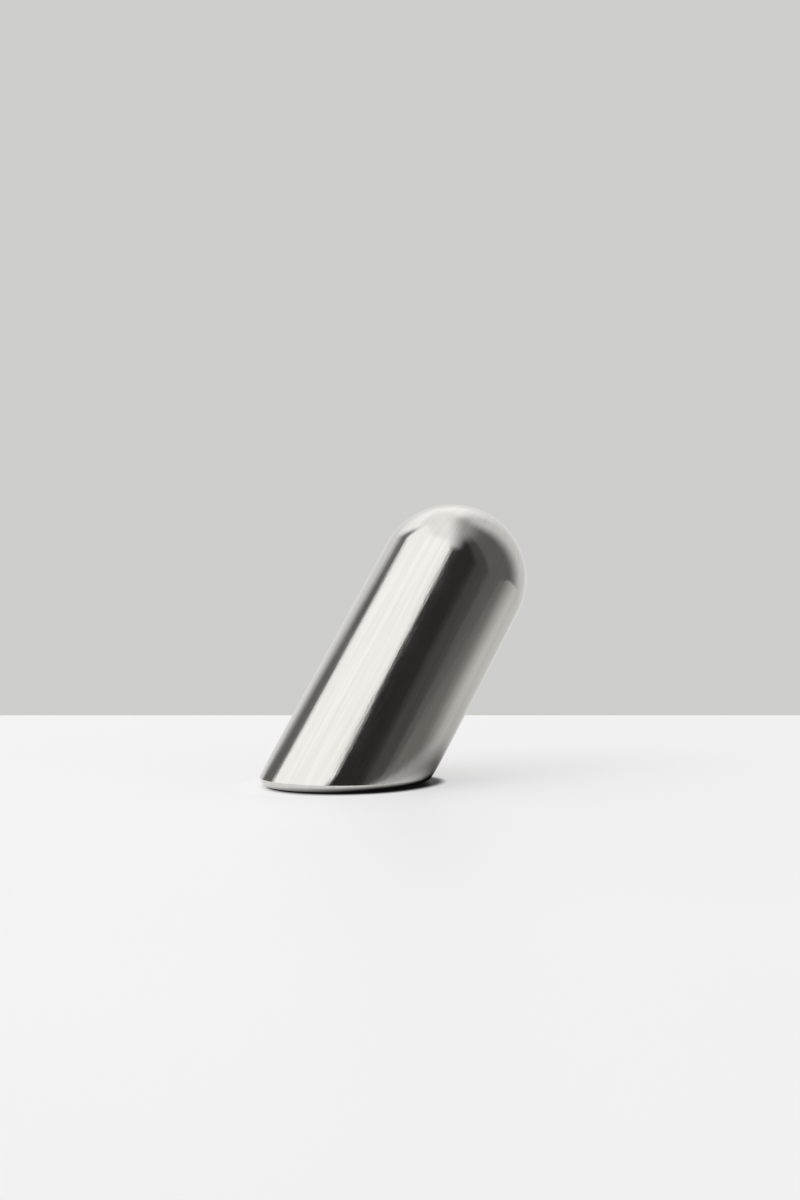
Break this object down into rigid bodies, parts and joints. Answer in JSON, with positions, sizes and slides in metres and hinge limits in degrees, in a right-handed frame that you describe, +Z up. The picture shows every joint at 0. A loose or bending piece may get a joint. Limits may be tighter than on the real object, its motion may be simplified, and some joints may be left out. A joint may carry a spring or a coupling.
{
  "type": "eyeglasses display stand",
  "caption": "Leaning domed steel tube on an obliquely cut foot; the bridge of a pair of glasses rests on its domed end.",
  "frame": {"origin": "where the tube's axis meets the resting face, on the underside of the anti-slip pad", "axes": "+Z up; the tube leans back towards +Y, so a pair of glasses on it faces -Y; +X is to the right seen from the glasses' front, and X = 0 is the plane of symmetry"},
  "size_m": [0.035, 0.0694, 0.0634],
  "materials": {
    "brushed_tube": "fine grain brushed along the tube, semi-bright",
    "brushed_dome": "brushed and buffed, a little brighter than the tube",
    "ballast_iron": "turned, bare",
    "plate_steel": "mill finish",
    "screw_steel": "plain steel",
    "pad_rubber": "matte black sheet rubber"
  },
  "bodies": {
    "root": {"tube_body": "brushed_tube", "dome_cap": "brushed_dome", "ballast_slug": "ballast_iron", "base_plate": "plate_steel", "plate_screws": "screw_steel", "anti_slip_pad": "pad_rubber"}
  },
  "joints": []
}
